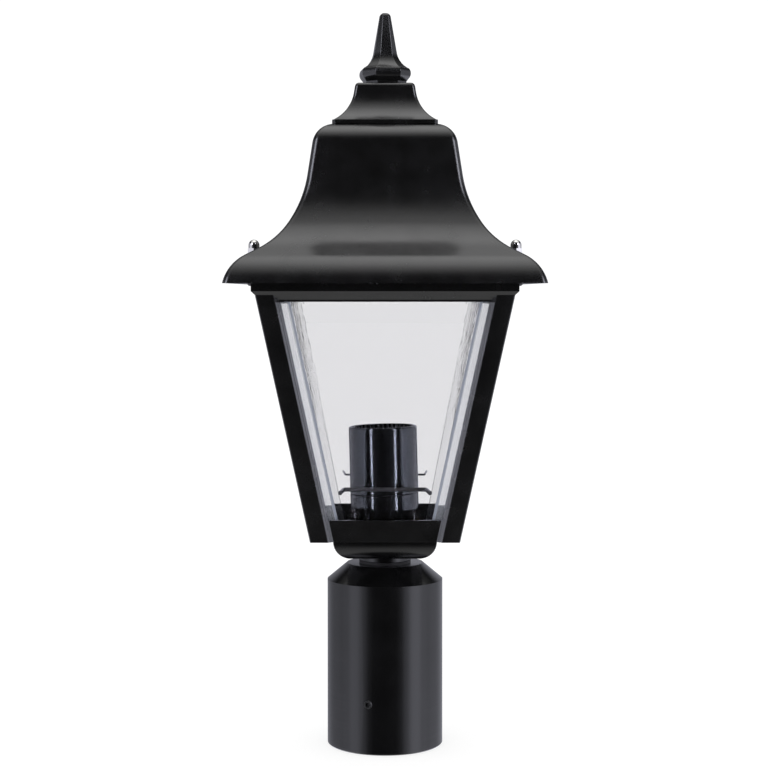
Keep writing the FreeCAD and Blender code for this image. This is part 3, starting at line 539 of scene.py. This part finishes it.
def light_over(tree, angle, stops):
    """Light level along an angle of up to 180 degrees, eased between (angle, level) stops."""
    brightest = max(level for _, level in stops)
    ramp = tree.nodes.new("ShaderNodeValToRGB")
    ramp.color_ramp.interpolation = "EASE"
    while len(ramp.color_ramp.elements) < len(stops):
        ramp.color_ramp.elements.new(0.5)
    for element, (degrees, level) in zip(ramp.color_ramp.elements, stops):
        element.position = degrees / 180
        share = level / brightest
        element.color = (share, share, share, 1)
    tree.links.new(arithmetic(tree, "DIVIDE", angle, 180), ramp.inputs["Fac"])
    return arithmetic(tree, "MULTIPLY", ramp.outputs["Color"], brightest)


ray = tree.nodes.new("ShaderNodeLightPath")
direction = tree.nodes.new("ShaderNodeTexCoord").outputs["Generated"]
axes = tree.nodes.new("ShaderNodeSeparateXYZ")
tree.links.new(direction, axes.inputs["Vector"])
degrees_each = 180 / math.pi
bearing = arithmetic(tree, "ARCTAN2", axes.outputs["X"], arithmetic(tree, "MULTIPLY", axes.outputs["Y"], -1))
bearing = arithmetic(tree, "MULTIPLY", bearing, degrees_each)
from_front = arithmetic(tree, "ABSOLUTE", bearing)
elevation = arithmetic(tree, "MULTIPLY", arithmetic(tree, "ARCSINE", axes.outputs["Z"]), degrees_each)
from_below = arithmetic(tree, "ADD", elevation, 90)
overhead_leans_back = math.radians(6)
overhead = tree.nodes.new("ShaderNodeVectorMath")
overhead.operation = "DOT_PRODUCT"
overhead.inputs[1].default_value = (0, math.sin(overhead_leans_back), math.cos(overhead_leans_back))
tree.links.new(direction, overhead.inputs[0])
from_overhead = arithmetic(tree, "MULTIPLY", arithmetic(tree, "ARCCOSINE", overhead.outputs["Value"]), degrees_each)

walls_along = light_over(tree, from_front, [(0, 0.01), (22, 0.03), (32, 0.15), (42, 0.6), (58, 1.45), (68, 1.45),
                                            (82, 0.95), (100, 0.72), (130, 0.5), (180, 0.4)])
walls_up = light_over(tree, from_below, [(0, 0), (30, 0), (60, 1), (106, 1), (124, 0)])
brighter_right = arithmetic(tree, "ADD", arithmetic(tree, "MULTIPLY", arithmetic(tree, "SIGN", bearing), 0.14), 0.96)
side_walls = arithmetic(tree, "MULTIPLY", arithmetic(tree, "MULTIPLY", walls_along, brighter_right), walls_up)

through_glass = arithmetic(tree, "GREATER_THAN", ray.outputs["Transmission Depth"], 0.5)
strips_along = light_over(tree, from_front, [(0, 0), (36, 0), (39, 6.5), (43, 6.5), (46, 0)])
strips_up = light_over(tree, from_below, [(0, 0), (62, 0), (72, 1), (120, 1), (135, 0)])
strips = arithmetic(tree, "MULTIPLY", arithmetic(tree, "MULTIPLY", through_glass, strips_along), strips_up)

ends_along = light_over(tree, from_front, [(0, 0), (70, 0), (90, 1), (180, 1)])
ends_up = light_over(tree, from_below, [(0, 0), (24, 0.1), (45, 1.0), (66, 1.0), (76, 0)])
table_ends = arithmetic(tree, "MULTIPLY", ends_along, ends_up)

high_along = light_over(tree, from_front, [(0, 0), (30, 0), (38, 7.0), (56, 7.0), (66, 0)])
high_up = light_over(tree, from_below, [(0, 0), (101, 0), (108, 1), (128, 1), (138, 0)])
high_sides = arithmetic(tree, "MULTIPLY", high_along, high_up)

side_light = arithmetic(tree, "ADD", arithmetic(tree, "ADD", side_walls, strips),
                        arithmetic(tree, "ADD", table_ends, high_sides))
side_light = arithmetic(tree, "MULTIPLY", side_light, arithmetic(tree, "ADD", through_glass, 1.0))
top_light = light_over(tree, from_overhead, [(0, 2.3), (10, 2.25), (28, 1.15), (38, 0.55), (44, 0.15), (54, 0.0)])
tabletop = light_over(tree, from_below, [(0, 0.75), (36, 0.6), (45, 0.35), (57, 0.03), (62, 0.0)])

cool_room = tree.nodes.new("ShaderNodeBackground")
cool_room.inputs["Color"].default_value = (0.96, 0.97, 1.1, 1)
tree.links.new(side_light, cool_room.inputs["Strength"])
plain_room = tree.nodes.new("ShaderNodeBackground")
plain_room.inputs["Color"].default_value = (1, 1, 1, 1)
tree.links.new(arithmetic(tree, "ADD", top_light, tabletop), plain_room.inputs["Strength"])
whole_room = tree.nodes.new("ShaderNodeAddShader")
tree.links.new(cool_room.outputs["Background"], whole_room.inputs[0])
tree.links.new(plain_room.outputs["Background"], whole_room.inputs[1])
seen_in_gloss = tree.nodes.new("ShaderNodeMixShader")
tree.links.new(arithmetic(tree, "GREATER_THAN", ray.outputs["Glossy Depth"], 0.5), seen_in_gloss.inputs["Fac"])
tree.links.new(white_walls.outputs["Background"], seen_in_gloss.inputs[1])
tree.links.new(whole_room.outputs["Shader"], seen_in_gloss.inputs[2])
tree.links.new(seen_in_gloss.outputs["Shader"], tree.nodes["World Output"].inputs["Surface"])

floor_radius = 14.0
floor_below_sleeve = 0.0002
floor_mesh = bpy.data.meshes.new("floor")
floor_shape = bmesh.new()
bmesh.ops.create_circle(floor_shape, cap_ends=True, segments=96, radius=floor_radius)
floor_shape.to_mesh(floor_mesh)
floor_shape.free()
floor = bpy.data.objects.new("floor", floor_mesh)
bpy.context.collection.objects.link(floor)
floor.location = (0, 0, -floor_below_sleeve)
floor_paint = bpy.data.materials.new("floor_paint")
floor_paint.use_nodes = True
tree = floor_paint.node_tree
paint = tree.nodes["Principled BSDF"]
paint.inputs["Base Color"].default_value = (0.35, 0.35, 0.35, 1)
paint.inputs["Roughness"].default_value = 1.0
paint.inputs["Specular IOR Level"].default_value = 0.0
paint.inputs["Emission Color"].default_value = (1, 1, 1, 1)
paint.inputs["Emission Strength"].default_value = 0.72
floor_ray = tree.nodes.new("ShaderNodeLightPath")
unseen = tree.nodes.new("ShaderNodeBsdfTransparent")
unseen_in_gloss = tree.nodes.new("ShaderNodeMixShader")
tree.links.new(arithmetic(tree, "GREATER_THAN", floor_ray.outputs["Glossy Depth"], 0.5),
               unseen_in_gloss.inputs["Fac"])
tree.links.new(paint.outputs["BSDF"], unseen_in_gloss.inputs[1])
tree.links.new(unseen.outputs["BSDF"], unseen_in_gloss.inputs[2])
tree.links.new(unseen_in_gloss.outputs["Shader"], tree.nodes["Material Output"].inputs["Surface"])
floor_mesh.materials.append(floor_paint)

bpy.context.scene.view_settings.view_transform = "Standard"


# Camera: where the photograph was taken from, a little above half height and looking slightly down,
# with the long lens of a product shot.

looks_down = math.radians(1.733)
camera = bpy.data.objects.new("camera", bpy.data.cameras.new("camera"))
bpy.context.collection.objects.link(camera)
camera.data.sensor_width = 36.0
camera.data.lens = 83.19
camera.data.shift_y = -0.05
camera.location = (-0.00058, -1.02516, 0.26116)
camera.rotation_euler = (math.radians(90) - looks_down, 0, 0)
bpy.context.scene.camera = camera
